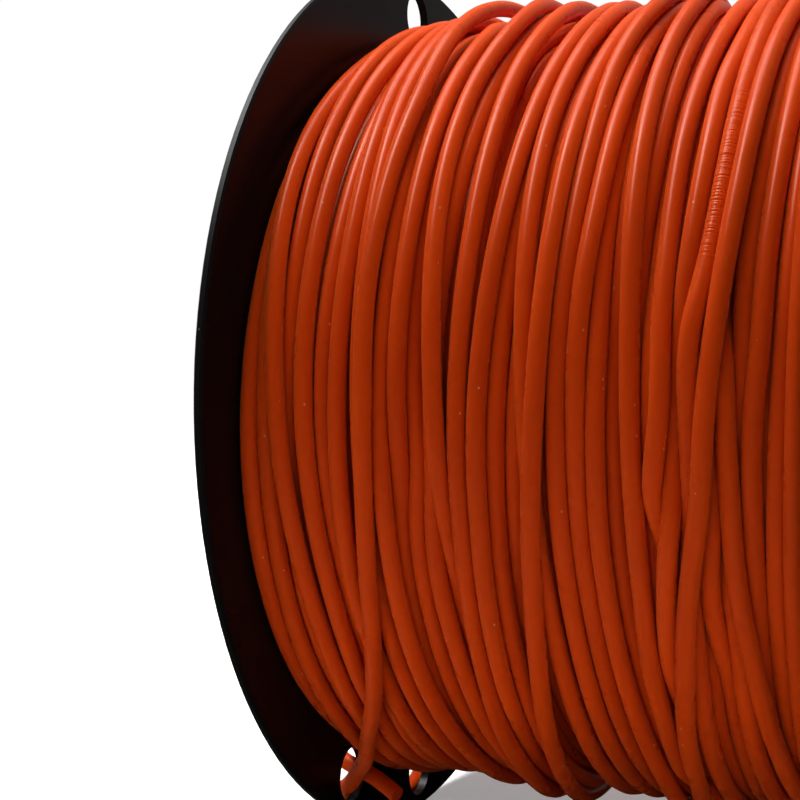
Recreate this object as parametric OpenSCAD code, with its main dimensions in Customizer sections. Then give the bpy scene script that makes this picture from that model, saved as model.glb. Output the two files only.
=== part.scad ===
// Spool of 3 mm printing filament: two moulded flanges snapped onto a barrel tube,
// and one long strand wound on it, with its outer end tucked through a hole in the
// left flange. All sizes in millimetres. The spool's axis is X, +Z is up, and the
// origin is the middle of the spool on its axis.

/* [Flanges] */
// Outer diameter of each flange
flange_d = 165; // [160:1:175]
// Thickness of the flange disc
flange_t = 1.6; // [1.4:0.1:2]
// Width over both flanges
overall_w = 95; // [92:1:100]
// Bevel on both edges of the flange's rim
rim_bevel = 0.4; // [0.2:0.1:0.6]
// Diameter of the holes that the strand's end is tucked through
tuck_hole_d = 10; // [9:0.5:11]
// Distance of the tuck holes from the axis
tuck_hole_r = 75.1; // [74:0.1:76]
// Angle of the middle of the left flange's lower pair of tuck holes, from the front and up
tuck_pair_angle = -77.5; // [-80:0.5:-75]
// Angle between the two tuck holes of a pair
tuck_pair_spread = 24; // [22:1:30]

/* [Hub] */
// Diameter of the hole for the holder's spindle
bore_d = 32; // [30:1:34]
// Wall of the sleeve round the spindle hole
sleeve_wall = 2; // [1.5:0.1:2.5]
// How far the sleeve reaches inward from the flange's inner face
sleeve_depth = 22; // [18:1:26]
// Number of webs between the sleeve and the collar
web_count = 6; // [4:1:8]
// Thickness of a web
web_t = 1.8; // [1.4:0.1:2.4]
// How far a web reaches inward from the flange's inner face
web_depth = 19; // [14:1:20]
// How far the webs lie back from the flange's outer face
web_recess = 1.2; // [0.8:0.2:2]
// How far the collar plugs into the barrel
collar_depth = 12; // [10:1:14]
// Wall of the collar
collar_wall = 2; // [1.6:0.1:2.4]

/* [Barrel] */
// Outer diameter of the barrel tube
barrel_d = 63.5; // [62:0.5:66]
// Wall of the barrel tube
barrel_wall = 2; // [1.6:0.1:2.4]
// Number of snap barbs on each collar, with as many windows in the barrel
barb_count = 3; // [2:1:4]
// Width of a snap barb round the collar
barb_w = 8; // [6:0.5:10]
// Radial gap between collar and barrel
fit_gap = 0.05; // [0.03:0.01:0.1]

/* [Strand] */
// Diameter of the strand
strand_d = 3; // [2.9:0.05:3]
// Radius of the outer layer's centreline
layer_r = 69.3; // [69:0.1:70]
// Turns in the outer layer, below the last turn that lies on it
layer_turns = 23; // [16:1:23]
// Gap between the outermost turns and the flanges
flange_gap = 0.3; // [0.2:0.05:0.4]
// Rise of the last turn over the layer that it lies on
last_turn_rise = 3.45; // [3.45:0.05:3.6]

/* [Hidden] */

moulded_black = [0.055, 0.05, 0.052];
strand_orange = [0.74, 0.24, 0.05];

inner_half = overall_w / 2 - flange_t;
flange_r = flange_d / 2;
barrel_r = barrel_d / 2;
barrel_bore_r = barrel_r - barrel_wall;
collar_r = barrel_bore_r - fit_gap;
sleeve_r = bore_d / 2 + sleeve_wall;
strand_r = strand_d / 2;
eps = 0.01;
$fn = 96;

// Two pairs of tuck holes, across from each other
tuck_hole_angles = [for (across = [0, 180], half = [-0.5, 0.5])
                       tuck_pair_angle + across + half * tuck_pair_spread];

// Snap barbs and the barrel's windows for them
barb_z = 8;          // distance of a barb's middle from the flange's inner face
barb_h = 3;          // its length along the axis
barb_rise = 1.2;     // how far it stands out of the collar
window_gap = 0.3;    // gap round it in the barrel's window

// Hole in the barrel that the strand starts from
start_x = 18;
start_hole_d = 3.6;

// Rings of the wound tube
rings_per_turn = 24;
ring_step = 360 / rings_per_turn;
winding_sides = 6;
cord_sides = 8;

// The outer layer is wound from the right flange to the left one, down past the front.
// Angles are round the axis, 0 at the front and 90 at the top.
layer_x = inner_half - strand_r - flange_gap;
layer_pitch = 2 * layer_x / layer_turns;
layer_end_angle = 265;
layer_rings = layer_turns * rings_per_turn;
// Between ring centres the tube is straight, so it dips below its own circle
core_r = layer_r * cos(ring_step / 2) - strand_r - 0.05;

// The last turn climbs onto the layer, crosses it to the right behind the spool, comes
// over the top, and drifts left again down the front until it leaves the winding.
last_turn_rings = 21;
climb_sweep = 45;           // angle in which it climbs onto the layer
cross_sweep = [30, 185];    // where it crosses to the right
drift_sweep = [185, 265];   // where it drifts slowly left, down to the front
over_x = -20;               // its place at the top
front_x = -24;              // and at the front
leave_x = -35;              // and where it leaves the winding
leave_power = 2.5;          // how sharply it bends away to the flange

function smooth(t) = let (u = min(max(t, 0), 1)) u * u * (3 - 2 * u);
function share(v, span) = smooth((v - span[0]) / (span[1] - span[0]));
function on_drum(x, r, angle) = [x, -r * cos(angle), r * sin(angle)];

last_sweep = last_turn_rings * ring_step;
function last_turn_x(f) =
    f < drift_sweep[0] ? -layer_x + (over_x + layer_x) * share(f, cross_sweep)
    : f < drift_sweep[1] ? over_x + (front_x - over_x) * share(f, drift_sweep)
    : front_x + (leave_x - front_x)
        * pow((f - drift_sweep[1]) / (last_sweep - drift_sweep[1]), leave_power);
function last_turn(f) = on_drum(last_turn_x(f),
                                layer_r + last_turn_rise * smooth(f / climb_sweep),
                                layer_end_angle - f);
function layer_turn(i) = on_drum(layer_x - layer_pitch * i / rings_per_turn, layer_r,
                                 layer_end_angle - ring_step * i);

function unit(v) = v / norm(v);
leave_point = last_turn(last_sweep);
leave_way = unit(last_turn(last_sweep) - last_turn(last_sweep - 1));
start_way = unit(layer_turn(0) - layer_turn(1));

winding_path = concat(
    [layer_turn(0) + strand_d * start_way],
    [for (i = [0:layer_rings]) layer_turn(i)],
    [for (i = [1:last_turn_rings]) last_turn(i * ring_step)]);

// The tail runs straight off the winding, out through the lower front tuck hole of the
// left flange, round a loop outside it that first follows the rim, and back in through
// the same hole. Its cut end stands inside the flange.
straight_steps = [0, 3, 8, 13];
tail_bends = [
    [-42.5, -35, -66], [-45, -33, -69], [-48.5, -30.3, -71.8], [-51.5, -25.5, -74],
    [-52.5, -19.5, -76.2], [-51.5, -13, -78.2], [-50.3, -7, -79.5], [-49.7, -1, -80],
    [-49.7, 5, -79.6], [-50.3, 10.5, -77.6], [-51.5, 14.5, -73.8], [-53, 16.5, -68.6],
    [-55, 16, -63.2], [-57, 13, -59], [-58.5, 8, -56.8], [-59.5, 2.5, -56.4],
    [-60, -3.5, -57], [-59.8, -9.5, -58.3], [-59, -15, -60], [-57.3, -20, -62],
    [-54.5, -24.3, -64.2], [-51, -27.3, -66], [-47.8, -28.9, -67], [-44.5, -30, -67.7],
    [-40.2, -31.7, -68.8], [-36, -33.6, -70.3]];
tail_path = concat([for (s = straight_steps) leave_point + s * leave_way], tail_bends);

// The strand's inner end goes through the barrel's wall and bends along the axis
start_path = [
    [start_x, 0, barrel_r], [start_x, 0, 28.5], [17.4, 0, 26.2], [15.8, 0, 24.4],
    [13.4, 0, 23.4], [10.5, 0, 23], [5, 0, 22.8]];

// Tube of straight sides along a path. Each ring stands square to the path there, and
// its first corner keeps to the side that the ring before it had.
function way(path, i) = unit(path[min(i + 1, len(path) - 1)] - path[max(i - 1, 0)]);
function square_to(v, w) = unit(v - (v * w) * w);
function sides_along(path, first) =
    [for (i = 0, u = square_to(first, way(path, 0)); i < len(path);
          i = i + 1, u = i < len(path) ? square_to(u, way(path, i)) : u) u];
module tube_along(path, r, sides, first) {
    side = sides_along(path, first);
    points = [for (i = [0:len(path) - 1])
                let (w = way(path, i), u = side[i], v = cross(w, u))
                for (k = [0:sides - 1]) path[i] + r * (cos(360 * k / sides) * u
                                                     + sin(360 * k / sides) * v)];
    last = (len(path) - 1) * sides;
    start_face = [for (k = [1:sides - 2]) [0, k, k + 1]];
    end_face = [for (k = [1:sides - 2]) [last, last + k + 1, last + k]];
    walls = [for (i = [0:len(path) - 2], k = [0:sides - 1])
                let (a = i * sides + k, b = i * sides + (k + 1) % sides)
                each [[a, a + sides, b + sides], [a, b + sides, b]]];
    polyhedron(points, concat(start_face, end_face, walls));
}

// Least distance between two stretches of the winding that lie half a turn or more apart
function least_centre_distance(path, apart) =
    min([for (i = [0:len(path) - 1 - apart], j = [i + apart:len(path) - 1])
            norm(path[i] - path[j])]);

// One flange, with its inner face on z = 0 and its outer face up
module moulded_flange() {
    bevelled_disc = [
        [collar_r - collar_wall, 0], [flange_r - rim_bevel, 0], [flange_r, rim_bevel],
        [flange_r, flange_t - rim_bevel], [flange_r - rim_bevel, flange_t],
        [collar_r - collar_wall, flange_t]];
    color(moulded_black) {
        difference() {
            rotate_extrude($fn = 180) polygon(bevelled_disc);
            for (a = tuck_hole_angles)
                rotate(a) translate([tuck_hole_r, 0, -1]) cylinder(h = flange_t + 2, d = tuck_hole_d);
        }
        ring(collar_r, collar_r - collar_wall, -collar_depth, eps);
        ring(sleeve_r, bore_d / 2, -sleeve_depth, flange_t);
        for (i = [0:web_count - 1])
            rotate(360 * i / web_count)
                translate([sleeve_r - sleeve_wall / 2, -web_t / 2, -web_depth])
                    cube([collar_r - collar_wall / 2 - sleeve_r + sleeve_wall / 2, web_t,
                          web_depth + flange_t - web_recess]);
        for (i = [0:barb_count - 1])
            rotate(360 * (i + 0.25) / barb_count)
                translate([collar_r - collar_wall / 2, -barb_w / 2, -barb_z - barb_h / 2])
                    cube([collar_wall / 2 + barb_rise, barb_w, barb_h]);
    }
}

module ring(outer_r, inner_r, low, high) {
    translate([0, 0, low])
        difference() {
            cylinder(h = high - low, r = outer_r);
            translate([0, 0, -1]) cylinder(h = high - low + 2, r = inner_r);
        }
}

// Turns z outward along -X, with the flange's angles counted from the front and up
module on_left_side() {
    translate([-inner_half, 0, 0]) rotate([0, -90, 0]) rotate(-90) children();
}

module flange_left() {
    on_left_side() moulded_flange();
}

// The same moulding, turned round
module flange_right() {
    rotate(180) on_left_side() moulded_flange();
}

module barrel() {
    color(moulded_black)
        difference() {
            rotate([0, 90, 0]) ring(barrel_r, barrel_bore_r, -inner_half, inner_half);
            for (turn = [0, 180]) rotate(turn) on_left_side() barrel_windows();
            translate([start_x, 0, barrel_bore_r - 1]) cylinder(h = barrel_wall + 2, d = start_hole_d);
        }
}

module barrel_windows() {
    for (i = [0:barb_count - 1])
        rotate(360 * (i + 0.25) / barb_count)
            translate([barrel_bore_r - 1, -barb_w / 2 - window_gap,
                       -barb_z - barb_h / 2 - window_gap])
                cube([barrel_wall + 2, barb_w + 2 * window_gap, barb_h + 2 * window_gap]);
}

// The inner layers, as one plain body under the wound layer
module filament_core() {
    color(strand_orange)
        rotate([0, 90, 0]) ring(core_r, barrel_r, -inner_half, inner_half);
}

module filament_outer_layer() {
    color(strand_orange)
        tube_along(winding_path, strand_r, winding_sides, winding_path[0] - [winding_path[0].x, 0, 0]);
    echo(str("least gap of the wound strand to itself, mm: ",
             least_centre_distance(winding_path, rings_per_turn / 2) - strand_d));
}

module filament_tail() {
    color(strand_orange)
        tube_along(tail_path, strand_r, cord_sides, leave_point - [leave_point.x, 0, 0]);
}

module filament_start() {
    color(strand_orange) tube_along(start_path, strand_r, cord_sides, [0, 1, 0]);
}

flange_left();
flange_right();
barrel();
filament_core();
filament_outer_layer();
filament_tail();
filament_start();
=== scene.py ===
# %% [markdown]
# # A spool of filament for a 3D printer
# The real object has four pieces: two thin black moulded flanges, the tube between them, and one
# long orange plastic strand wound on that tube. The flanges and the tube have hard, exact shapes,
# so their solids from the drawing stay, and get a finish here. The strand is what the eye sees,
# so this lesson winds it again, turn by turn, and hides the plain solids that held its place.

# %% Load the drawing
import math
import bpy
import numpy as np
from mathutils import Matrix, Vector


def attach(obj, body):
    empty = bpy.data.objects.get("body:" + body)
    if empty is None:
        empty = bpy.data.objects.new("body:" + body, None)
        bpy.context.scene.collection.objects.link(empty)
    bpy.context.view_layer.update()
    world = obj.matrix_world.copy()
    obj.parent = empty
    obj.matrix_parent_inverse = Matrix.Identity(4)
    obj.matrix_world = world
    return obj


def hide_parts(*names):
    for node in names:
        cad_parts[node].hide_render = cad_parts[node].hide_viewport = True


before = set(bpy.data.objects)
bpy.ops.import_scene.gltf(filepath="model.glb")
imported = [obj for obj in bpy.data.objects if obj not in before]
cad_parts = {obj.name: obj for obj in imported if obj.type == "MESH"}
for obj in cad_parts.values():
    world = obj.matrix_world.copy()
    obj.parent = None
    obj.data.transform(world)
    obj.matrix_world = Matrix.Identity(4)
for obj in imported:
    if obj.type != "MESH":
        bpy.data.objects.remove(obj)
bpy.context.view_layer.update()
MM = 0.001
print("pieces in the drawing:", len(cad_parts))

# %% [markdown]
# ## Sizes
# All sizes are the real ones, in millimetres, with x along the spindle. The flanges' inner faces
# are 91.8 mm apart. The strand is nominal 3 mm filament, so every number below can be checked
# against a calliper on a real spool.

# %% Sizes of the spool and the strand
INNER_WIDTH = 91.8
LEFT_FACE = -INNER_WIDTH / 2
FLANGE_R = 82.5
BARREL_R = 31.75
STRAND_D = 3.0
STRAND_R = STRAND_D / 2
TURNS_ACROSS = int(INNER_WIDTH // STRAND_D)
# the strand's line in the outer layer, and in the last turn, which lies on that layer
LAYER_R = 70.1
LAST_TURN_R = 72.75
# where the last turn leaves the winding, in degrees up from the front
LEAVE_ANGLE = -50
print("turns that fit side by side:", TURNS_ACROSS)

# %% [markdown]
# ## Two helpers
# Colours are written as on a colour chart, in sRGB hex. Blender's sockets want linear light, so
# one function turns them. A second one adds a node to any tree with its settings and its links,
# which keeps every tree below as a short list that reads from the first node to the last.

# %% Colour and node helpers
def linear(hex_code):
    """An sRGB hex colour as the linear RGBA that a socket takes."""
    channels = [int(hex_code[i:i + 2], 16) / 255 for i in (1, 3, 5)]
    return [c / 12.92 if c <= 0.04045 else ((c + 0.055) / 1.055) ** 2.4 for c in channels] + [1.0]


def add_node(tree, kind, settings=None, links=None):
    """Adds one node. Settings are its properties or its open inputs; links feed its inputs."""
    node = tree.nodes.new(kind)
    for name, value in (settings or {}).items():
        if isinstance(name, str) and hasattr(node, name):
            setattr(node, name, value)
        else:
            node.inputs[name].default_value = value
    for name, (source, output) in (links or {}).items():
        tree.links.new(source.outputs[output], node.inputs[name])
    return node


print("middle grey, #808080, in linear light:", round(linear("#808080")[0], 3))

# %% [markdown]
# ## The camera
# The spool is seen from in front and a little from the right, almost level, with a short
# telephoto lens, so the left flange shows its inner face and the right one stays out of view. A
# camera could be aimed at a target object, but a place and three turns in numbers leave nothing
# in the scene that a later change could move.

# %% Camera
CAMERA_PLACE = Vector((80.74, -288.55, 10.25)) * MM
# turns in radians, and the lens in mm
CAMERA_YAW = -0.4254
CAMERA_PITCH = -0.0347
CAMERA_ROLL = -0.0062
LENS = 70.9155

camera_data = bpy.data.cameras.new("camera")
camera_data.lens = LENS
camera_data.sensor_width = 36.0
camera_data.clip_start = 0.01
camera = bpy.data.objects.new("camera", camera_data)
turn_yaw = Matrix.Rotation(-CAMERA_YAW, 4, "Z")
turn_pitch = Matrix.Rotation(math.pi / 2 + CAMERA_PITCH, 4, "X")
turn_roll = Matrix.Rotation(CAMERA_ROLL, 4, "Z")
camera.matrix_world = Matrix.Translation(CAMERA_PLACE) @ turn_yaw @ turn_pitch @ turn_roll
bpy.context.collection.objects.link(camera)
bpy.context.scene.camera = camera
print("camera at, mm:", [round(c / MM, 1) for c in CAMERA_PLACE])

# %% [markdown]
# ## The strand's plastic
# Filament is extruded: molten ABS is pulled through a round hole and through cooling water. That
# leaves a waxy, half-gloss skin with faint lines along it, a colour that drifts a little from
# metre to metre, and small cross wrinkles where it was bent hard. A texture picture would have to
# be unwrapped along 30 m of strand, so noise is used, and it follows the strand: every strand mesh
# carries its length in "along" and its place in the cross-section in "section".

# %% Material: extruded ABS, orange
# how fine each pattern is: cells in a metre across the strand, twice, and along it
TONE_DRIFT = (90, 90, 20)
DUST_AND_GLINT_SPECKS = (700, 700, 500)
DRAW_LINES = (2600, 2600, 60)
BEND_WRINKLES = (160, 160, 2600)
GLOSS_DRIFT = (300, 300, 200)
# a speck's radius as a share of its cell, and the share of cells that have none
SPECK_RADIUS = 0.11
CLEAN_SHARE = 0.975


def extruded_abs():
    """Orange ABS as extruded: waxy half gloss, drifting tone, draw lines, bend wrinkles."""
    material = bpy.data.materials.new("extruded_abs_orange")
    material.use_nodes = True
    tree = material.node_tree
    tree.nodes.clear()
    along = add_node(tree, "ShaderNodeAttribute", {"attribute_name": "along"})
    section = add_node(tree, "ShaderNodeAttribute", {"attribute_name": "section"})
    apart = add_node(tree, "ShaderNodeSeparateXYZ", links={0: (section, "Vector")})
    place = add_node(tree, "ShaderNodeCombineXYZ", links={
        "X": (apart, "X"), "Y": (apart, "Y"), "Z": (along, "Fac")})

    def stretched(per_metre):
        """The strand's own places, scaled for a pattern."""
        return add_node(tree, "ShaderNodeVectorMath", {"operation": "MULTIPLY", 1: per_metre},
                        {0: (place, 0)})

    # the tone drifts over about 50 mm of strand
    drift = add_node(tree, "ShaderNodeTexNoise", {"Scale": 1.0, "Detail": 3.0},
                     {"Vector": (stretched(TONE_DRIFT), 0)})
    tone = add_node(tree, "ShaderNodeValToRGB", links={"Fac": (drift, "Fac")})
    ramp = tone.color_ramp.elements
    ramp[0].position = 0.3
    ramp[0].color = linear("#C83A04")
    ramp[1].position = 0.7
    ramp[1].color = linear("#DA4406")
    # specks of dust, 0.3 mm across, about one in five square centimetres; their pale colour is partly
    # a painted glint
    dust_and_glint_specks = add_node(tree, "ShaderNodeTexVoronoi", {"Scale": 1.0},
                      {"Vector": (stretched(DUST_AND_GLINT_SPECKS), 0)})
    near = add_node(tree, "ShaderNodeMath", {"operation": "LESS_THAN", 1: SPECK_RADIUS},
                    {0: (dust_and_glint_specks, "Distance")})
    pick = add_node(tree, "ShaderNodeSeparateXYZ", links={0: (dust_and_glint_specks, "Color")})
    rare = add_node(tree, "ShaderNodeMath", {"operation": "GREATER_THAN", 1: CLEAN_SHARE},
                    {0: (pick, "X")})
    dust_and_glint_speck = add_node(tree, "ShaderNodeMath", {"operation": "MULTIPLY"},
                     {0: (near, 0), 1: (rare, 0)})
    # the specks are painted pale: partly dust, partly painted glints
    colour = add_node(tree, "ShaderNodeMix", {"data_type": "RGBA", 7: linear("#D87E56")},
                      {0: (dust_and_glint_speck, 0), 6: (tone, "Color")})
    # draw lines: real ones are 0.05 mm apart, drawn at 0.4 mm so that they show
    lines = add_node(tree, "ShaderNodeTexNoise", {"Scale": 1.0, "Detail": 2.0},
                     {"Vector": (stretched(DRAW_LINES), 0)})
    # wrinkles about 0.8 mm apart, only where the strand was bent hard, which "wrinkled" says
    ridges = add_node(tree, "ShaderNodeTexNoise", {"Scale": 1.0, "Detail": 1.0},
                      {"Vector": (stretched(BEND_WRINKLES), 0)})
    kneaded = add_node(tree, "ShaderNodeAttribute", {"attribute_name": "wrinkled"})
    wrinkles = add_node(tree, "ShaderNodeMath", {"operation": "MULTIPLY"},
                        {0: (ridges, "Fac"), 1: (kneaded, "Fac")})
    # handling makes the skin a little uneven: gloss changes over 5 mm
    gloss = add_node(tree, "ShaderNodeTexNoise", {"Scale": 1.0, "Detail": 3.0},
                     {"Vector": (stretched(GLOSS_DRIFT), 0)})
    rough = add_node(tree, "ShaderNodeMapRange", {
        "From Min": 0.3, "From Max": 0.7, "To Min": 0.26, "To Max": 0.33},
        {"Value": (gloss, "Fac")})
    fine = add_node(tree, "ShaderNodeBump", {"Strength": 0.12, "Distance": 0.00006},
                    {"Height": (lines, "Fac")})
    coarse = add_node(tree, "ShaderNodeBump", {"Strength": 1.0, "Distance": 0.00022},
                      {"Height": (wrinkles, 0), "Normal": (fine, 0)})
    # the cooling water dulls the skin, so it mirrors less than its IOR says, and leaves a warm
    # haze; below that, red light spreads about 1 mm in the plastic and the other colours less
    skin = add_node(tree, "ShaderNodeBsdfPrincipled", {
        "IOR": 1.54, "Specular IOR Level": 0.08, "Specular Tint": linear("#FFC4A8"),
        "Sheen Weight": 0.07, "Sheen Roughness": 0.6, "Sheen Tint": linear("#FFD478"),
        "Subsurface Weight": 0.25, "Subsurface Scale": 0.0012,
        "Subsurface Radius": (1.0, 0.25, 0.08)}, {
        "Base Color": (colour, 2), "Roughness": (rough, 0), "Normal": (coarse, 0)})
    add_node(tree, "ShaderNodeOutputMaterial", links={"Surface": (skin, 0)})
    return material


strand_plastic = extruded_abs()
print("strand material:", strand_plastic.name)

# %% [markdown]
# ## One tree for every length of strand
# A strand is a circle swept along a line. This Geometry Nodes tree takes a line of edges, turns
# it into a curve, sweeps the circle and keeps two facts for the material: how far along the
# strand a point is, and where it sits in the cross-section. A curve object with a round bevel
# would have the same shape, but it can't store those facts. Every length of strand below, wound,
# free or hidden, is made by this tree, so they all look like one piece.

# %% Geometry Nodes: sweep a strand along a line
def strand_tree():
    """The tree that turns a line of edges into a round strand."""
    tree = bpy.data.node_groups.new("strand", "GeometryNodeTree")
    tree.interface.new_socket("Line", in_out="INPUT", socket_type="NodeSocketGeometry")
    tree.interface.new_socket("Radius", in_out="INPUT", socket_type="NodeSocketFloat")
    tree.interface.new_socket("Sides", in_out="INPUT", socket_type="NodeSocketInt")
    tree.interface.new_socket("Plastic", in_out="INPUT", socket_type="NodeSocketMaterial")
    tree.interface.new_socket("Strand", in_out="OUTPUT", socket_type="NodeSocketGeometry")
    given = add_node(tree, "NodeGroupInput")
    curve = add_node(tree, "GeometryNodeMeshToCurve", links={"Mesh": (given, "Line")})
    spline = add_node(tree, "GeometryNodeSplineParameter")
    measured = add_node(tree, "GeometryNodeStoreNamedAttribute", {
        "data_type": "FLOAT", "domain": "POINT", "Name": "along"},
        {"Geometry": (curve, 0), "Value": (spline, "Length")})
    circle = add_node(tree, "GeometryNodeCurvePrimitiveCircle", links={
        "Resolution": (given, "Sides"), "Radius": (given, "Radius")})
    spot = add_node(tree, "GeometryNodeInputPosition")
    profile = add_node(tree, "GeometryNodeStoreNamedAttribute", {
        "data_type": "FLOAT_VECTOR", "domain": "POINT", "Name": "section"},
        {"Geometry": (circle, 0), "Value": (spot, 0)})
    thickness = add_node(tree, "GeometryNodeInputNamedAttribute", {
        "data_type": "FLOAT", "Name": "thickness"})
    swept = add_node(tree, "GeometryNodeCurveToMesh", {"Fill Caps": True}, {
        "Curve": (measured, 0), "Profile Curve": (profile, 0), "Scale": (thickness, 0)})
    smooth = add_node(tree, "GeometryNodeSetShadeSmooth", links={0: (swept, 0)})
    real = add_node(tree, "GeometryNodeRealizeInstances", links={0: (smooth, 0)})
    coated = add_node(tree, "GeometryNodeSetMaterial", links={
        "Geometry": (real, 0), "Material": (given, "Plastic")})
    add_node(tree, "NodeGroupOutput", links={0: (coated, 0)})
    return tree


STRAND_TREE = strand_tree()
print("nodes in the strand's tree:", len(STRAND_TREE.nodes))

# %% [markdown]
# ## From the tree to a plain mesh
# A live modifier can't be told which body it belongs to, so each strand is worked out once and
# kept as a plain mesh. The line carries two facts for each of its points: how thick the strand is
# there, as a share of 3 mm, and how wrinkled.

# %% Sweep a strand
def sweep_strand(name, points, sides, thickness=None, wrinkled=None):
    """A strand along points in millimetres, as a plain mesh, with its thickness and wrinkles."""
    line = bpy.data.meshes.new(name + "_line")
    places = np.asarray(points) * MM
    line.from_pydata(places.tolist(), [(i, i + 1) for i in range(len(places) - 1)], [])
    widths = line.attributes.new("thickness", "FLOAT", "POINT")
    widths.data.foreach_set("value", np.ones(len(places)) if thickness is None else thickness)
    kneads = line.attributes.new("wrinkled", "FLOAT", "POINT")
    kneads.data.foreach_set("value", np.zeros(len(places)) if wrinkled is None else wrinkled)
    strand = bpy.data.objects.new(name, line)
    bpy.context.collection.objects.link(strand)
    modifier = strand.modifiers.new("sweep", "NODES")
    modifier.node_group = STRAND_TREE
    inputs = {item.name: item.identifier for item in STRAND_TREE.interface.items_tree
              if item.in_out == "INPUT"}
    modifier[inputs["Radius"]] = STRAND_R * MM
    modifier[inputs["Sides"]] = sides
    modifier[inputs["Plastic"]] = strand_plastic
    made = bpy.data.meshes.new_from_object(strand.evaluated_get(
        bpy.context.evaluated_depsgraph_get()))
    strand.modifiers.remove(modifier)
    strand.data = made
    made.name = name
    # the round side is shaded smooth, and the faces at the two ends are flat
    for face in made.polygons:
        face.use_smooth = len(face.vertices) <= 4
    print(name, "triangles:", sum(len(face.vertices) - 2 for face in made.polygons))
    return strand


# %% [markdown]
# ## The strand's free end
# The last turn leaves the winding low at the front, goes out through a round hole near the left
# flange's rim, turns round outside, comes back through the same hole and ends in a snipped face.
# Its route could be drawn by eye, but then the free end and the drawing could come apart, so it
# repeats the drawing's points. A cubic through them gives rings 1 mm apart, and the last rings
# narrow a little, as the cutter's jaws leave the end.

# %% The free end's route
LEAVE_POINT = np.array((-35.0, -46.7628, -55.7297))
LEAVE_WAY = np.array((-0.39246, 0.69940, -0.59734))
# mm straight on from there, before the bends
STRAIGHT_ON = (0, 3, 8, 13)
TAIL_BENDS = (
    (-42.5, -35, -66), (-45, -33, -69), (-48.5, -30.3, -71.8), (-51.5, -25.5, -74),
    (-52.5, -19.5, -76.2), (-51.5, -13, -78.2), (-50.3, -7, -79.5), (-49.7, -1, -80),
    (-49.7, 5, -79.6), (-50.3, 10.5, -77.6), (-51.5, 14.5, -73.8), (-53, 16.5, -68.6),
    (-55, 16, -63.2), (-57, 13, -59), (-58.5, 8, -56.8), (-59.5, 2.5, -56.4),
    (-60, -3.5, -57), (-59.8, -9.5, -58.3), (-59, -15, -60), (-57.3, -20, -62),
    (-54.5, -24.3, -64.2), (-51, -27.3, -66), (-47.8, -28.9, -67), (-44.5, -30, -67.7),
    (-40.2, -31.7, -68.8), (-36, -33.6, -70.3))


def cubic(t, gap, start, end, start_slope, end_slope):
    """One span of a cubic: t goes from 0 to 1 over the gap between the start and the end."""
    return ((1 + 2 * t) * (1 - t) ** 2 * start + t * (1 - t) ** 2 * gap * start_slope
            + t * t * (3 - 2 * t) * end + t * t * (t - 1) * gap * end_slope)


def smooth_route(points, spacing):
    """Points a given distance apart on a smooth cubic through the given ones."""
    points = np.asarray(points, float)
    steps = np.linalg.norm(np.diff(points, axis=0), axis=1)
    at = np.concatenate(([0], np.cumsum(steps)))
    chords = np.diff(points, axis=0) / steps[:, None]
    inner = (chords[1:] * steps[:-1, None] + chords[:-1] * steps[1:, None])
    inner /= (steps[1:] + steps[:-1])[:, None]
    slopes = np.vstack((chords[:1], inner, chords[-1:]))
    wanted = np.linspace(0, at[-1], int(round(at[-1] / spacing)) + 1)
    span = np.clip(np.searchsorted(at, wanted, side="right") - 1, 0, len(steps) - 1)
    t = ((wanted - at[span]) / steps[span])[:, None]
    return cubic(t, steps[span][:, None], points[span], points[span + 1],
                 slopes[span], slopes[span + 1])


tail_corners = [LEAVE_POINT + along * LEAVE_WAY for along in STRAIGHT_ON]
tail_corners += [np.array(bend) for bend in TAIL_BENDS]
TAIL_SPACING = 1.0
tail_path = smooth_route(tail_corners, TAIL_SPACING)
print("points on the free end's route:", len(tail_path))

# %% The free end
# the rings at the cut: mm past the route's end, and share of the full width
CUT_RINGS = ((0.12, 0.97), (0.3, 0.86))
TAIL_SIDES = 20
tail_end_way = tail_path[-1] - tail_path[-2]
tail_end_way /= np.linalg.norm(tail_end_way)
cut_rings = [tail_path[-1] + past * tail_end_way for past, width in CUT_RINGS]
tail_path = np.vstack((tail_path, *cut_rings))
tail_width = np.ones(len(tail_path))
tail_width[-len(CUT_RINGS):] = [width for past, width in CUT_RINGS]
tail_length = float(np.linalg.norm(np.diff(tail_path, axis=0), axis=1).sum())
tail = sweep_strand("strand_tail", tail_path, TAIL_SIDES, tail_width)
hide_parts("filament_tail")
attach(tail, "root")
print("free end, mm:", round(tail_length, 1))

# %% [markdown]
# ## How the outer layer lies
# On a real spool the strand is fed on by hand or by a guide that isn't exact, so turns lie side
# by side in some places and climb over each other in others. Random numbers would give a layer
# that is uneven everywhere in the same way, so the table says turn by turn where each one seems
# to lie. It goes from the right flange to the left one, as the camera sees the turns on the front
# of the winding. The last turn lies on all the others and runs down to the hole in the flange.

# %% Table of turns
# the lines on which places are given, in degrees up from the front
PLACE_LINES = (60, 30, 0, -30, -60)
# the lines on which heights are given: for a simple turn two, and for one that climbs six
SIMPLE_LINES = (60, -60)
CLIMBING_LINES = (90, 60, 30, 0, -30, -60)
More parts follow.
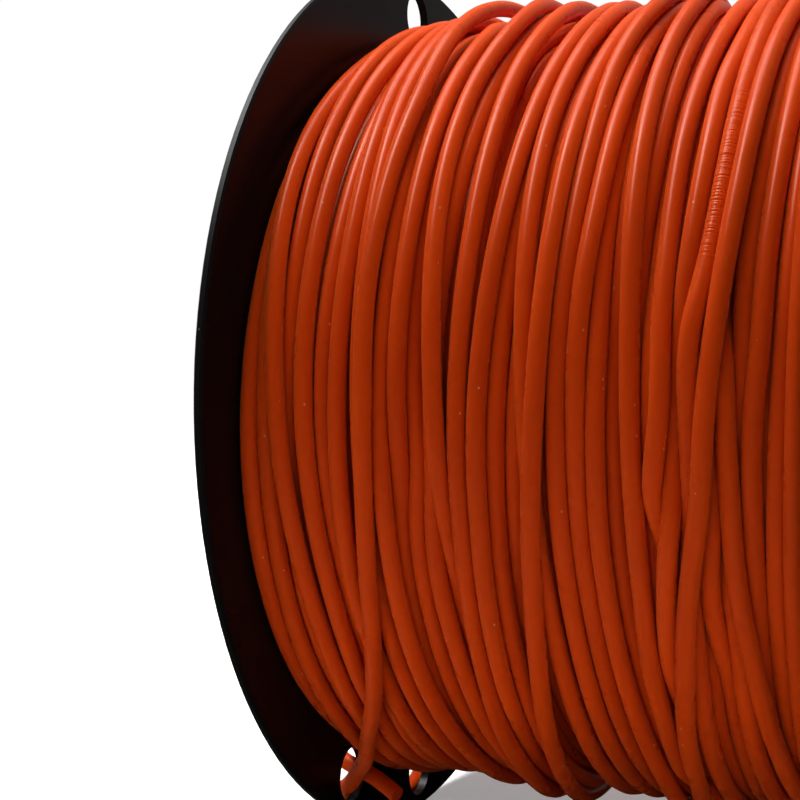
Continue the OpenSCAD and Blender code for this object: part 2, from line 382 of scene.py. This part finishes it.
# of each turn: places in mm from the left flange, then heights above the layer's normal level,
# in tenths of a step
TURNS = (
    ((90.3, 90.3, 90.3, 90.2, 90.2), (0, 0)),
    ((88.9, 88.6, 88.8, 88.0, 87.4), (-10, 0)),
    ((88.0, 87.4, 87.0, 85.5, 84.0), (10, 10)),
    ((87.0, 86.2, 85.0, 83.4, 82.8), (0, 6)),
    ((86.0, 85.0, 83.1, 82.2, 81.3), (0, -15)),
    ((84.6, 82.4, 81.0, 80.8, 80.2), (6, -8)),
    ((82.4, 80.0, 78.7, 78.2, 79.2), (0, -6, -8, -6, -6, -6)),
    ((81.8, 79.0, 76.9, 77.0, 77.3), (-20, 0)),
    ((77.2, 76.2, 76.9, 79.3, 82.0), (-24, -24, -20, -5, 10, 20)),
    ((80.4, 78.2, 75.3, 74.9, 74.4), (-20, 0)),
    ((77.8, 76.3, 73.4, 72.4, 72.0), (-20, 0)),
    ((79.5, 77.4, 74.5, 69.4, 64.0), (30, 34)),
    ((76.2, 76.0, 72.4, 70.0, 69.5), (5, 9, 12, 8, 4, 0)),
    ((73.6, 73.2, 70.2, 67.9, 66.4), (6, 8, 10, 5, -2, -8)),
    ((71.8, 71.0, 70.6, 70.6, 70.9), (-26, -22, -18, -15, -17, -20)),
    ((69.9, 68.2, 68.8, 68.3, 67.8), (0, 14, 14, 4, -8, -18)),
    ((67.2, 66.8, 66.4, 66.8, 66.4), (-20, -10, -8, -6, -11, -16)),
    ((65.0, 64.7, 65.3, 65.6, 65.2), (-22, -6, -3, -9, -14, -20)),
    ((61.8, 62.4, 63.9, 64.8, 64.9), (-8, 8, 8, 4, 0, -6)),
    ((61.4, 61.2, 61.1, 62.1, 63.6), (-26, -24, -14, -9, -9, -8)),
    ((59.3, 59.3, 58.4, 59.4, 61.0), (-18, -16, -12, -2, 4, 10)),
    ((57.4, 57.1, 55.6, 56.2, 57.0), (-6, -8, -4, 2, 4, 4)),
    ((54.5, 53.7, 52.5, 53.0, 53.3), (12, 16, 14, 10, 8, 8)),
    ((51.9, 50.6, 49.2, 46.2, 40.3), (-4, 10, 23, 23, 25, 26)),
    ((49.7, 48.8, 46.2, 44.0, 43.5), (-12, 2, 2, -7, -10, -22)),
    ((47.2, 46.3, 47.8, 49.5, 49.0), (-7, 6, 8, 5, 5, 8)),
    ((45.6, 45.0, 43.3, 42.2, 41.8), (-18, -12, -7, -6, -8, -16)),
    ((44.0, 42.5, 40.1, 39.6, 37.5), (4, 12, 12, 12, 12, 10)),
    ((38.0, 38.2, 38.3, 38.2, 39.4), (-10, -22, -26, -20, -18, -20)),
    ((36.8, 37.4, 36.9, 36.3, 34.3), (22, 17, 12, 12, 14, 14)),
    ((34.0, 33.6, 32.9, 32.7, 33.0), (8, 14, 8, 2, 0, 0)),
    ((30.9, 30.8, 33.2, 35.2, 36.0), (22, 17, 12, 8, 0, -6)),
    ((29.8, 29.0, 29.6, 29.3, 30.0), (-10, -10, -6, -4, -4, -8)),
    ((26.6, 26.9, 26.9, 26.2, 27.6), (-22, -5, 9, 4, -4, -12)),
    ((23.4, 24.3, 24.4, 24.4, 25.8), (-25, -15, -3, 5, 9, 9)),
    ((17.9, 19.8, 20.8, 21.1, 21.8), (11, 0)),
    ((16.0, 17.2, 16.9, 16.8, 17.5), (5, 0)),
    ((15.2, 14.8, 14.2, 15.6, 15.0), (-10, -14, -10, -4, 0, 0)),
    ((12.2, 11.5, 11.4, 13.3, 11.9), (8, 5, 8, 8, 5, 2)),
    ((7.3, 7.9, 8.0, 6.7, 6.4), (6, -4, 3, -6, -6, -3)),
    ((4.6, 5.0, 7.3, 9.6, 8.8), (-4, -20, 18, 16, 12, 10)),
    ((2.4, 3.6, 4.4, 4.5, 5.2), (-30, -40, -5, 2, 0, -2)),
    ((1.5, 1.5, 1.5, 1.5, 1.5), (-70, -70, -26, 6, 10, -16)),
)
LAST_TURN = ((23.4, 22.9, 22.5, 19.5, 4.0), (36, 36))
# the last turn's own line: degrees up from the front, mm from the left flange
LAST_LINE = ((180, 8.8), (150, 16.4), (120, 21.0), (90, 23.0), (60, 23.4), (45, 23.8), (30, 22.9),
             (15, 22.3), (0, 22.5), (-18, 21.4), (-31, 19.1), (-40.6, 15.9), (-50, 10.9), (-55, 8.0))
# the winding is worked out in slices of this many degrees
SLICE = 2
SLICES = 360 // SLICE
angles = 180 - np.arange(SLICES) * SLICE
print("turns:", len(TURNS) + 1, "slices in a turn:", SLICES)

# %% [markdown]
# ## First lines
# A cubic through the table gives each turn a first line in 180 slices round the spool. A cubic
# bends as a stiff strand does, where straight pieces would show their corners. Behind the spool,
# where the table has no lines, a turn goes on as it came for a while and then crosses over.

# %% First lines of the turns
def through(at, knots, values):
    """A cubic through the knots, whose slope at each is a mean of the chords beside it."""
    gaps = np.diff(knots)
    rise = np.diff(values) / gaps
    inner = (rise[1:] * gaps[:-1] + rise[:-1] * gaps[1:]) / (gaps[1:] + gaps[:-1])
    slope = np.concatenate(([0], inner, [0]))
    span = np.clip(np.searchsorted(knots, at) - 1, 0, len(gaps) - 1)
    t = np.clip((at - knots[span]) / gaps[span], 0, 1)
    return cubic(t, gaps[span], values[span], values[span + 1], slope[span], slope[span + 1])


def ease(t):
    """From nought to one with level ends, as t goes from nought to one."""
    t = np.clip(t, 0, 1)
    return t * t * (3 - 2 * t)


# a turn keeps its slant past the table's first and last lines, for this share of a line's gap
SLANT_ON = 0.45


def first_lines(turns):
    """Place in mm and height in steps, of every turn in every slice."""
    knots = []
    places = []
    heights = []
    for number, (seen, levels) in enumerate(turns):
        top = seen[0] + SLANT_ON * (seen[0] - seen[1])
        bottom = seen[-1] + SLANT_ON * (seen[-1] - seen[-2])
        level_lines = SIMPLE_LINES if len(levels) == len(SIMPLE_LINES) else CLIMBING_LINES
        for angle, place_there in zip((90, *PLACE_LINES, -90), (top, *seen, bottom)):
            knots.append(360 * number + 180 - angle)
            places.append(place_there)
            heights.append(np.interp(angle, level_lines[::-1], levels[::-1]) / 10)
    at = np.arange(len(turns) * SLICES) * SLICE
    lines = [through(at, np.array(knots), np.array(values)) for values in (places, heights)]
    return [line.reshape(len(turns), SLICES) for line in lines]


# mm in a step of height, and the lowest that a turn's line lies; only the two turns at the left
# flange sink deeper
HEIGHT_STEP = 0.95
LOWEST_R = 67.4
place, height = first_lines(TURNS + (LAST_TURN,))
radius = LAYER_R + HEIGHT_STEP * height
radius[:-3] = np.maximum(radius[:-3], LOWEST_R)
print("first lines reach, mm:", place.min().round(1), "to", place.max().round(1))

# %% [markdown]
# ## The last turn
# The last turn lies on the others, and so does the way up to it, behind the spool. The drawing
# has both, because the free end begins where the last turn ends. They are put where the drawing
# has them, and nothing moves them later. As rows of the table they would be pushed about like the
# other turns, and the free end wouldn't meet them.

# %% Hold the last turn
# the drawing's strand starts to climb here, in degrees up from the front, and is up 45 degrees on
CLIMB_ANGLE = -95
CLIMB_SWEEP = 45
# the drawing's layer is regular and lies a little lower
DRAWN_LAYER_R = 69.3
LAST_TURN_RISE = 3.45
# as it climbs it crosses to the right, between these degrees after the climb began, from this
# place, in mm from the left flange, and by this many mm
CROSS_FROM = 30
CROSS_TO = 185
CROSS_PLACE = 1.8
CROSS_WIDTH = 24.1
# from the first of these angles to the second, the last turn stands off the winding's top in a
# low arch, this high
ARCH_BEGINS = 150
ARCH_ENDS = 30
ARCH_HEIGHT = 0.7
ARCH_UP_IN = 50
ARCH_DOWN_IN = 30
fixed = np.zeros(place.shape)
there = np.ones(place.shape)
climbed = CLIMB_ANGLE - angles
cross = climbed > CROSS_FROM
crossed = (climbed[cross] - CROSS_FROM) / (CROSS_TO - CROSS_FROM)
place[-2, cross] = CROSS_PLACE + CROSS_WIDTH * ease(crossed)
radius[-2, cross] = DRAWN_LAYER_R + LAST_TURN_RISE * ease(climbed[cross] / CLIMB_SWEEP)
fixed[-2, cross] = 1
line_angles, line_places = np.array(LAST_LINE[::-1]).T
place[-1] = through(angles, line_angles, line_places)
arch = ease((angles - ARCH_ENDS) / ARCH_DOWN_IN) * ease((ARCH_BEGINS - angles) / ARCH_UP_IN)
radius[-1] = LAST_TURN_R + ARCH_HEIGHT * arch
fixed[-1] = 1
# the last turn isn't there any more where the free end has begun
there[-1, angles < LEAVE_ANGLE] = 0
free = 1 - fixed
print("slices that are held:", int(fixed.sum()), "of", fixed.size)

# %% [markdown]
# ## From seen places to true places
# The table has a turn where the camera sees it on a smooth cylinder. A turn that stands out of
# that cylinder is nearer to the camera, which looks from the right, so its true place is further
# to the right than it seems. Its lean says how far, for each mm that it stands out.

# %% Lean of every turn
# the cylinder through the top of the layer, and the limits that keep a lean sensible
SEEN_R = 71.5
MOST_LEAN = 1.3
# past the first of these angles a turn nears the winding's outline, and by the second its lean
# has faded out
LEAN_FADES_AT = 60
LEAN_ENDS_AT = 100
# up to this many mm from the left flange the table has true places, so there is no lean
NO_LEAN_PLACE = 12
LEAN_GROWS_IN = 8
# share of the lean that a turn has below the front
LOW_LEAN = 0.75
turn_y = -radius * np.cos(np.radians(angles))
turn_z = radius * np.sin(np.radians(angles))
to_turn = np.stack((place + LEFT_FACE, turn_y, turn_z), -1) - np.array(CAMERA_PLACE) / MM
inwards = np.sin(np.radians(angles)) * to_turn[..., 2] - np.cos(np.radians(angles)) * to_turn[..., 1]
in_sight = ease((LEAN_ENDS_AT - np.abs(angles)) / (LEAN_ENDS_AT - LEAN_FADES_AT))
lean = np.clip(to_turn[..., 0] / np.minimum(inwards, -1.0), 0, MOST_LEAN) * in_sight
lean *= ease((place - NO_LEAN_PLACE) / LEAN_GROWS_IN) * np.where(angles < 0, LOW_LEAN, 1)
print("largest lean:", lean.max().round(2))

# %% [markdown]
# ## Wind it
# The first lines cut into each other, so this step does what the real strand did: in each slice,
# turns that are closer than one diameter push each other sideways, or up and down where one lies
# higher. Each strand is stiff, so its line is smoothed along its length in the same rounds. After
# some hundred rounds every turn has its own room. Blender's rigid bodies could do this too, but
# they need thousands of small parts, and wouldn't end with the turns where the table wants them.

# %% Push the turns apart
PUSH_ROUNDS = 260
CALM_ROUNDS = 80
# how strongly a turn is drawn to its place in each round: on the front, behind, and in height
FRONT_ANGLE = 75
FRONT_HOLD = 0.12
BACK_HOLD = 0.015
HEIGHT_HOLD = 0.02
# for its lean, a turn stands out of the cylinder by no less and no more than this, in mm
LEAST_RISEN = -2.5
MOST_RISEN = 3.0
# how strongly a strand's stiffness and its tension straighten it in each round
STIFFNESS = 0.35
TENSION = 0.12
# two turns have an order when their heights differ by more than a quarter of a step; the higher
# one is then pushed as if it were at least this many mm above the other
CLEAR_STEP = 0.25
LEAST_ABOVE = 0.9
# mm that a push leaves between two strands, and the share of it that is done in each round
SPARE = 0.02
PUSH_ASIDE = 0.5
PUSH_UP = 0.62
# no turn's line is pushed higher than this
HIGHEST_R = 74.2
# a distance in mm that is no contact
FAR_APART = 9.0
home_place = place.copy()
home_radius = radius.copy()
hold = np.where(np.abs(angles) <= FRONT_ANGLE, FRONT_HOLD, BACK_HOLD)[None] * free
own = np.arange(len(place))
lowest = np.minimum(LOWEST_R, home_radius)
order = height[:, None] - height[None]
order = np.sign(order) * (np.abs(order) > CLEAR_STEP)
both = there[:, None] * there[None]
share = free[:, None] / np.maximum(free[:, None] + free[None], 1e-6)

for round_number in range(PUSH_ROUNDS + CALM_ROUNDS):
    if round_number < PUSH_ROUNDS:
        risen = np.clip(radius + STRAND_R - SEEN_R, LEAST_RISEN, MOST_RISEN)
        place += hold * (home_place + lean * risen - place)
        radius += HEIGHT_HOLD * free * (home_radius - radius)
    for line in (place, radius):
        flat = line.ravel()
        stiff = flat.copy()
        stiff[2:-2] = (4 * (flat[1:-3] + flat[3:-1]) - flat[:-4] - flat[4:]) / 6
        mean = flat.copy()
        mean[1:-1] = (flat[:-2] + flat[2:]) / 2
        line += free * (STIFFNESS * (stiff - flat) + TENSION * (mean - flat)).reshape(line.shape)
    aside = place[:, None] - place[None]
    above = radius[:, None] - radius[None]
    above = np.where(order != 0, order * np.maximum(order * above, LEAST_ABOVE), above)
    apart = np.hypot(aside, above)
    apart[own, own] = FAR_APART
    push = np.maximum(STRAND_D + SPARE - apart, 0) * share * both / apart
    place += PUSH_ASIDE * (push * aside).sum(1)
    radius += PUSH_UP * (push * above).sum(1)
    np.clip(place, STRAND_R, INNER_WIDTH - STRAND_R, out=place)
    np.clip(radius, lowest, HIGHEST_R, out=radius)
print("farthest that a turn was pushed aside, mm:", np.abs(place - home_place).max().round(1))

# %% Measure the winding
# two strands whose lines are closer than this, in mm, squeeze each other
SQUEEZED = 2.9
apart = np.hypot(place[:, None] - place[None], radius[:, None] - radius[None])
apart[own, own] = FAR_APART
apart[both == 0] = FAR_APART
nearest = apart.min(1)
front_radius = radius[:, np.abs(angles) <= FRONT_ANGLE]
print("closest centres, mm:", nearest.min().round(2))
print("share of slices that squeeze:", (nearest < SQUEEZED).mean().round(3))
print("front radius, mm:", front_radius.min().round(2), "to", front_radius.max().round(2))

# %% [markdown]
# ## The wound layer as one strand
# The slices are joined in the order in which the strand was wound, from its dive between the
# layers at the right flange to the point where the free end begins. One turn was bent hard once,
# and has wrinkles on a stretch above the front.

# %% Outer layer
OUTER_SIDES = 12
# at the right flange the strand comes up out of the layer below: slices, and mm
DIVE_SLICES = 20
DIVE_DEPTH = 5.0
# the bent turn, counted from nought at the right flange, and the angles of its wrinkles
WRINKLED_TURN = 12
WRINKLED_FROM = 14
WRINKLED_TO = 48
WRINKLES_GROW_IN = 8
radius[0, :DIVE_SLICES] -= DIVE_DEPTH * (1 - ease(np.arange(DIVE_SLICES) / DIVE_SLICES))
turned = np.radians(angles)[None] * np.ones((len(place), 1))
wound = np.stack((place + LEFT_FACE, -radius * np.cos(turned), radius * np.sin(turned)), -1)
wound = wound.reshape(-1, 3)
last_slice = (len(place) - 1) * SLICES + int((180 - LEAVE_ANGLE) / SLICE)
wound = wound[:last_slice + 1]
print("winding's end to the free end, mm:", np.linalg.norm(wound[-1] - LEAVE_POINT).round(3))
wound[-1] = LEAVE_POINT
wrinkled = np.zeros(place.shape)
wrinkles_start = ease((angles - WRINKLED_FROM) / WRINKLES_GROW_IN)
wrinkled[WRINKLED_TURN] = wrinkles_start * ease((WRINKLED_TO - angles) / WRINKLES_GROW_IN)
outer_layer = sweep_strand("strand_outer_layer", wound, OUTER_SIDES,
                           wrinkled=wrinkled.ravel()[:last_slice + 1])
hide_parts("filament_outer_layer")
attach(outer_layer, "root")
wound_length = np.linalg.norm(np.diff(wound, axis=0), axis=1).sum() / 1000
print("strand in the outer layer, m:", wound_length.round(1))

# %% [markdown]
# ## The layers below
# Only the top of the next layer shows, in the gaps between turns, so it is one regular helix with
# its turns side by side. Below it the strand fills the space down to the tube. Nobody can see
# in there, so it is one turned ring, with the same round ridges on its outside.

# %% The next layer
# the strand's line in this layer
UNDER_R = 65.5
UNDER_SLICES = 96
UNDER_SIDES = 8
# mm between a flange and the strand
SIDE_GAP = 0.05
pitch = (INNER_WIDTH - STRAND_D - 2 * SIDE_GAP) / TURNS_ACROSS
steps = np.arange(TURNS_ACROSS * UNDER_SLICES + 1) / UNDER_SLICES
helix = np.stack((LEFT_FACE + STRAND_R + SIDE_GAP + pitch * steps,
                  -UNDER_R * np.cos(2 * math.pi * steps), UNDER_R * np.sin(2 * math.pi * steps)), -1)
under_layer = sweep_strand("strand_under_layer", helix, UNDER_SIDES)
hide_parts("filament_core")
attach(under_layer, "root")

# %% Turn a ring
def turned_ring(name, profile, segments):
    """A closed ring: a closed profile of (x, r) in millimetres, turned about the spindle."""
    turn = np.arange(segments) * 2 * math.pi / segments
    profile = np.asarray(profile)
    corners = len(profile)
    points = np.stack((profile[None, :, 0] + 0 * turn[:, None],
                       -profile[None, :, 1] * np.cos(turn)[:, None],
                       profile[None, :, 1] * np.sin(turn)[:, None]), -1).reshape(-1, 3) * MM
    faces = []
    for segment in range(segments):
        here = segment * corners
        onward = (segment + 1) % segments * corners
        for corner in range(corners):
            beside = (corner + 1) % corners
            faces.append((here + corner, onward + corner, onward + beside, here + beside))
    mesh = bpy.data.meshes.new(name)
    mesh.from_pydata(points.tolist(), [], faces)
    mesh.update()
    ring = bpy.data.objects.new(name, mesh)
    bpy.context.collection.objects.link(ring)
    print(name, "quads:", len(faces))
    return ring


# %% Inner layers
# the middles of the ridges
RIDGE_R = 62.6
# a ridge's corners, in degrees round its middle
RIDGE_ANGLES = (165, 135, 105, 75, 45, 15)
ridge = (INNER_WIDTH - 2 * SIDE_GAP) / TURNS_ACROSS
profile = []
for number in range(TURNS_ACROSS):
    middle = LEFT_FACE + SIDE_GAP + ridge * (number + 0.5)
    for angle in RIDGE_ANGLES:
        profile.append((middle + STRAND_R * math.cos(math.radians(angle)),
                        RIDGE_R + STRAND_R * math.sin(math.radians(angle))))
profile += [(-LEFT_FACE - SIDE_GAP, BARREL_R), (LEFT_FACE + SIDE_GAP, BARREL_R)]
inner_layers = turned_ring("strand_inner_layers", profile, UNDER_SLICES)
for face in inner_layers.data.polygons:
    face.use_smooth = True
inner_layers.data.materials.append(strand_plastic)
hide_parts("filament_core")
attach(inner_layers, "root")

# %% [markdown]
# ## The strand's inner end
# Winding starts with the strand pushed through a small hole in the tube and bent over inside it.
# Nobody sees that, and it could be left out, but then nothing would hold the strand's first turn.
# The same tree sweeps it.

# %% Inner end
# places in mm: from the outside of the tube to the bent end inside it
START_CORNERS = ((18, 0, 31.75), (18, 0, 28.5), (17.4, 0, 26.2), (15.8, 0, 24.4), (13.4, 0, 23.4),
                 (10.5, 0, 23), (5, 0, 22.8))
START_SPACING = 0.6
start_path = smooth_route(START_CORNERS, START_SPACING)
start = sweep_strand("strand_start", start_path, TAIL_SIDES)
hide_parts("filament_start")
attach(start, "root")

# %% [markdown]
# ## The flanges' plastic
# Flanges like these are injection moulded from high-impact polystyrene, dyed black. The mould is
# polished, so the face is glossy with a slight haze, and a spool that is handled gets dust on
# it and a rim that is scuffed a little rougher than the face. One flat black would look like
# paper, so all of these are patterns, on the object's own coordinates, and they stay where they
# are on the flange when it is seen from another side.

# %% Material: moulded polystyrene, black
# dust: cells in a metre, a grain's radius as a share of its cell, and the share of empty cells
GRAINS = 450.0
GRAIN_RADIUS = 0.07
GRAINLESS_SHARE = 0.8
# cells in a metre for the haze, the waves and the scuffs
HAZE_CLOUDS = 35.0
FACE_WAVES = 80.0
FACE_SCUFFS = 900.0
# mm inside the edge where the scuffed rim starts and where it is full, and how much rougher it is
RIM_START = 0.6
RIM_FULL = 0.2
RIM_ROUGHER = 0.12


def moulded_polystyrene():
    """Black polystyrene from a polished mould: deep gloss, haze, dust and a scuffed rim."""
    material = bpy.data.materials.new("moulded_polystyrene_black")
    material.use_nodes = True
    tree = material.node_tree
    tree.nodes.clear()
    place = add_node(tree, "ShaderNodeTexCoord")
    # pale grains of dust, 0.3 mm across, about one in two square centimetres
    grains = add_node(tree, "ShaderNodeTexVoronoi", {"Scale": GRAINS}, {"Vector": (place, "Object")})
    near = add_node(tree, "ShaderNodeMath", {"operation": "LESS_THAN", 1: GRAIN_RADIUS},
                    {0: (grains, "Distance")})
    pick = add_node(tree, "ShaderNodeSeparateXYZ", links={0: (grains, "Color")})
    rare = add_node(tree, "ShaderNodeMath", {"operation": "GREATER_THAN", 1: GRAINLESS_SHARE},
                    {0: (pick, "X")})
    dust = add_node(tree, "ShaderNodeMath", {"operation": "MULTIPLY"}, {0: (near, 0), 1: (rare, 0)})
    cloud = add_node(tree, "ShaderNodeTexNoise", {"Scale": HAZE_CLOUDS, "Detail": 4.0},
                     {"Vector": (place, "Object")})
    black = add_node(tree, "ShaderNodeValToRGB", links={"Fac": (cloud, "Fac")})
    black.color_ramp.elements[0].color = linear("#0C0808")
    black.color_ramp.elements[1].color = linear("#130D0D")
    colour = add_node(tree, "ShaderNodeMix", {"data_type": "RGBA", 7: linear("#5A5450")},
                      {0: (dust, 0), 6: (black, "Color")})
    apart = add_node(tree, "ShaderNodeSeparateXYZ", links={0: (place, "Object")})
    across = add_node(tree, "ShaderNodeCombineXYZ", links={"Y": (apart, "Y"), "Z": (apart, "Z")})
    from_axis = add_node(tree, "ShaderNodeVectorMath", {"operation": "LENGTH"}, {0: (across, 0)})
    rim = add_node(tree, "ShaderNodeMapRange", {
        "From Min": (FLANGE_R - RIM_START) * MM, "From Max": (FLANGE_R - RIM_FULL) * MM,
        "To Min": 0.0, "To Max": RIM_ROUGHER}, {"Value": (from_axis, "Value")})
    haze = add_node(tree, "ShaderNodeMapRange", {
        "From Min": 0.3, "From Max": 0.7, "To Min": 0.24, "To Max": 0.34}, {"Value": (cloud, "Fac")})
    rough = add_node(tree, "ShaderNodeMath", {"operation": "ADD"}, {0: (haze, 0), 1: (rim, 0)})
    # the moulded face isn't quite flat: waves 12 mm long, and scuffs about 1 mm long
    waves = add_node(tree, "ShaderNodeTexNoise", {"Scale": FACE_WAVES, "Detail": 1.0},
                     {"Vector": (place, "Object")})
    scuffs = add_node(tree, "ShaderNodeTexNoise", {"Scale": FACE_SCUFFS, "Detail": 2.0},
                      {"Vector": (place, "Object")})
    wavy = add_node(tree, "ShaderNodeBump", {"Strength": 0.3, "Distance": 0.0002},
                    {"Height": (waves, "Fac")})
    scuffed = add_node(tree, "ShaderNodeBump", {"Strength": 0.15, "Distance": 0.00005},
                       {"Height": (scuffs, "Fac"), "Normal": (wavy, 0)})
    # the haze and the fine dust take most of the gloss that polystyrene's IOR would give
    skin = add_node(tree, "ShaderNodeBsdfPrincipled", {"IOR": 1.59, "Specular IOR Level": 0.06}, {
        "Base Color": (colour, 2), "Roughness": (rough, 0), "Normal": (scuffed, 0)})
    add_node(tree, "ShaderNodeOutputMaterial", links={"Surface": (skin, 0)})
    return material


spool_plastic = moulded_polystyrene()
for node_name in ("flange_left", "flange_right", "barrel"):
    node_object = bpy.data.objects[node_name]
    for slot in node_object.material_slots:
        slot.material = spool_plastic
    print(node_name, "slots:", len(node_object.material_slots))

# %% [markdown]
# ## Floor, backdrop and light
# A plain pale floor carries the spool and takes its shadow, and the camera sees what is round it
# as plain white. In a reflection the same surroundings are much darker, as in a studio with dark
# screens just out of view, because white ones would give every strand a pale edge. The floor's
# own paint is also darker in a reflection, which is painted shade.

# %% Floor
FLOOR_SIZE = 8.0
floor_mesh = bpy.data.meshes.new("floor")
half = FLOOR_SIZE / 2
floor_z = -FLANGE_R * MM
floor_corners = [(x * half, y * half, floor_z) for x, y in ((-1, -1), (1, -1), (1, 1), (-1, 1))]
floor_mesh.from_pydata(floor_corners, [], [(0, 1, 2, 3)])
floor = bpy.data.objects.new("floor", floor_mesh)
bpy.context.collection.objects.link(floor)
print("floor at z, m:", floor_z)

# %% Who sees the backdrop
# how bright a reflection sees the sky and the floor's white, where the camera sees 1
REFLECTED_SKY = 0.25
REFLECTED_FLOOR = 0.15


def for_reflections(tree, value):
    """A level of one for every ray but glossy ones, for which it is the value."""
    rays = add_node(tree, "ShaderNodeLightPath")
    return add_node(tree, "ShaderNodeMath", {"operation": "MULTIPLY_ADD", 1: value - 1, 2: 1.0},
                    {0: (rays, "Is Glossy Ray")})


def seen_as_backdrop(tree):
    """One for camera, glossy and transmission rays, nought for the rest."""
    path = add_node(tree, "ShaderNodeLightPath")
    two = add_node(tree, "ShaderNodeMath", {"operation": "MAXIMUM"},
                   {0: (path, "Is Camera Ray"), 1: (path, "Is Glossy Ray")})
    return add_node(tree, "ShaderNodeMath", {"operation": "MAXIMUM"},
                    {0: (two, 0), 1: (path, "Is Transmission Ray")})


print("a reflection sees of the sky:", REFLECTED_SKY, "and of the floor's white:", REFLECTED_FLOOR)

# %% Floor paint
# matt white paint: as the camera sees it; as a reflection sees it, darker, which is painted shade;
# and as it lights the spool
PAINT_SEEN = "#EDEDEC"
PAINT_REFLECTED_SHADED = "#4A4A49"
PAINT_LIGHTING = "#DCDCDA"
# the white level is 1 at the far distance from the spool's middle, in m, and this at the near one
LEVEL_AT_SPOOL = 0.3
SPOOL_NEAR = 0.1
SPOOL_FAR = 0.35
# a reflection sees the level to this power, because the floor near the spool is in its shadow
REFLECTED_FALL = 4.0
floor_paint = bpy.data.materials.new("painted_floor_white")
floor_paint.use_nodes = True
floor_tree = floor_paint.node_tree
floor_tree.nodes.clear()
rays = add_node(floor_tree, "ShaderNodeLightPath")
# a reflection sees the paint darker than the camera does: this is painted shade
paint_tone_with_reflected_shade = add_node(floor_tree, "ShaderNodeMix", {
    "data_type": "RGBA", 6: linear(PAINT_SEEN), 7: linear(PAINT_REFLECTED_SHADED)},
    {0: (rays, "Is Glossy Ray")})
paint = add_node(floor_tree, "ShaderNodeBsdfDiffuse", links={"Color": (paint_tone_with_reflected_shade, 2)})
dim_paint = add_node(floor_tree, "ShaderNodeBsdfDiffuse", {"Color": linear(PAINT_LIGHTING)})
spot = add_node(floor_tree, "ShaderNodeTexCoord")
from_spool = add_node(floor_tree, "ShaderNodeVectorMath", {"operation": "LENGTH"},
                      {0: (spot, "Object")})
far = add_node(floor_tree, "ShaderNodeMapRange", {
    "From Min": SPOOL_NEAR, "From Max": SPOOL_FAR, "To Min": LEVEL_AT_SPOOL, "To Max": 1.0},
    {"Value": (from_spool, "Value")})
level = add_node(floor_tree, "ShaderNodeMath", {"operation": "POWER"}, {
    0: (far, 0), 1: (for_reflections(floor_tree, REFLECTED_FALL), 0)})
glow_level = add_node(floor_tree, "ShaderNodeMath", {"operation": "MULTIPLY"}, {
    0: (level, 0), 1: (for_reflections(floor_tree, REFLECTED_FLOOR), 0)})
glow = add_node(floor_tree, "ShaderNodeEmission", {"Color": linear("#FFFFFF")},
                {"Strength": (glow_level, 0)})
lit = add_node(floor_tree, "ShaderNodeAddShader", links={0: (paint, 0), 1: (glow, 0)})
floor_mix = add_node(floor_tree, "ShaderNodeMixShader", links={
    0: (seen_as_backdrop(floor_tree), 0), 1: (dim_paint, 0), 2: (lit, 0)})
add_node(floor_tree, "ShaderNodeOutputMaterial", links={"Surface": (floor_mix, 0)})
floor_mesh.materials.append(floor_paint)
print("nodes in the floor's paint:", len(floor_tree.nodes))

# %% [markdown]
# ## The light
# Most of the light comes from a wide soft box nearly overhead, which doesn't show in the gloss. Two
# lamps show only in the gloss: a narrow one, high on the camera's left, draws the bright streaks
# on the strands, and a wide weak one widens them. A very weak strip behind the camera and an even
# level from all round keep the front and the underside readable. One big lamp would be simpler,
# but then the gloss and the shadows couldn't be set apart from each other.

# %% World
WORLD_LEVEL = 0.09
world = bpy.data.worlds.new("studio")
bpy.context.scene.world = world
world.use_nodes = True
sky = world.node_tree
sky.nodes.clear()
ambient = add_node(sky, "ShaderNodeBackground", {"Color": linear("#FFFFFF"), "Strength": WORLD_LEVEL})
backdrop = add_node(sky, "ShaderNodeBackground", {"Color": linear("#FFFFFF")},
                    {"Strength": (for_reflections(sky, REFLECTED_SKY), 0)})
world_mix = add_node(sky, "ShaderNodeMixShader", links={
    0: (seen_as_backdrop(sky), 0), 1: (ambient, 0), 2: (backdrop, 0)})
add_node(sky, "ShaderNodeOutputWorld", links={"Surface": (world_mix, 0)})
print("level from all round:", WORLD_LEVEL)

# %% Lamps
def soft_box(name, way, distance, width, depth, power):
    """A rectangular lamp that looks at the spool's middle; metres and watts."""
    lamp = bpy.data.lights.new(name, "AREA")
    lamp.shape = "RECTANGLE"
    lamp.size = width
    lamp.size_y = depth
    lamp.energy = power
    box = bpy.data.objects.new(name, lamp)
    way = Vector(way).normalized()
    across = Vector((1, 0, 0))
    across = (across - across.dot(way) * way).normalized()
    turn = Matrix((across, way.cross(across), way)).transposed().to_4x4()
    box.matrix_world = Matrix.Translation(way * distance) @ turn
    bpy.context.collection.objects.link(box)
    print(name, "at, m:", [round(c, 2) for c in way * distance])
    return box


overhead = soft_box("lamp_overhead", (-0.2, 0.12, 0.95), 0.8, 0.7, 0.7, 14.0)
overhead.visible_glossy = False
gleam = soft_box("lamp_gleam", (-0.41, -0.33, 0.86), 0.78, 0.22, 0.4, 9.0)
gleam.visible_diffuse = False
sheen = soft_box("lamp_sheen", (-0.3, 0.0, 0.95), 0.8, 0.5, 0.6, 5.5)
sheen.visible_diffuse = False
soft_box("lamp_front", (-0.05, -1.0, 0.02), 1.2, 0.8, 0.16, 0.12)

scene = bpy.context.scene
scene.view_settings.view_transform = "Standard"
